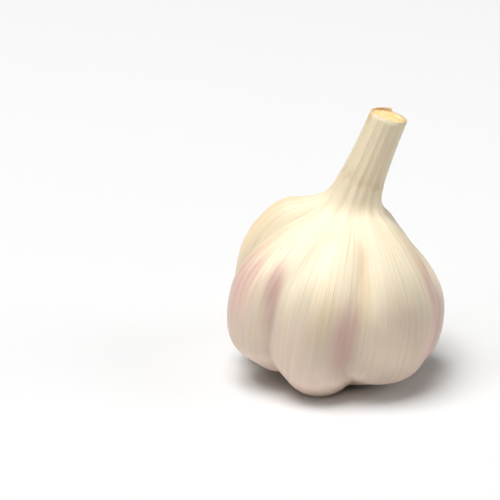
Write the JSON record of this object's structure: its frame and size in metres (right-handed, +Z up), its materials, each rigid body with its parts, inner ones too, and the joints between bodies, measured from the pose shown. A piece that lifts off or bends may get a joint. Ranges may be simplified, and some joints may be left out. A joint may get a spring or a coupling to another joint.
{
  "type": "garlic bulb",
  "caption": "Whole garlic bulb in pale papery skin, cloves showing as ribs, with a slanting cut neck and a dry root tuft underneath.",
  "frame": {"origin": "on the surface that the bulb stands on, under the middle of its bounding box", "axes": "+Z up, -Y towards the viewer of the picture, +X to the side that the neck leans to"},
  "size_m": [0.0594, 0.059, 0.0739],
  "materials": {
    "skin": "satin",
    "stalk_flesh": "matte",
    "dry_root": "matte"
  },
  "bodies": {
    "root": {"bulb": "skin", "stalk": "stalk_flesh", "root_tuft": "dry_root"}
  },
  "joints": []
}
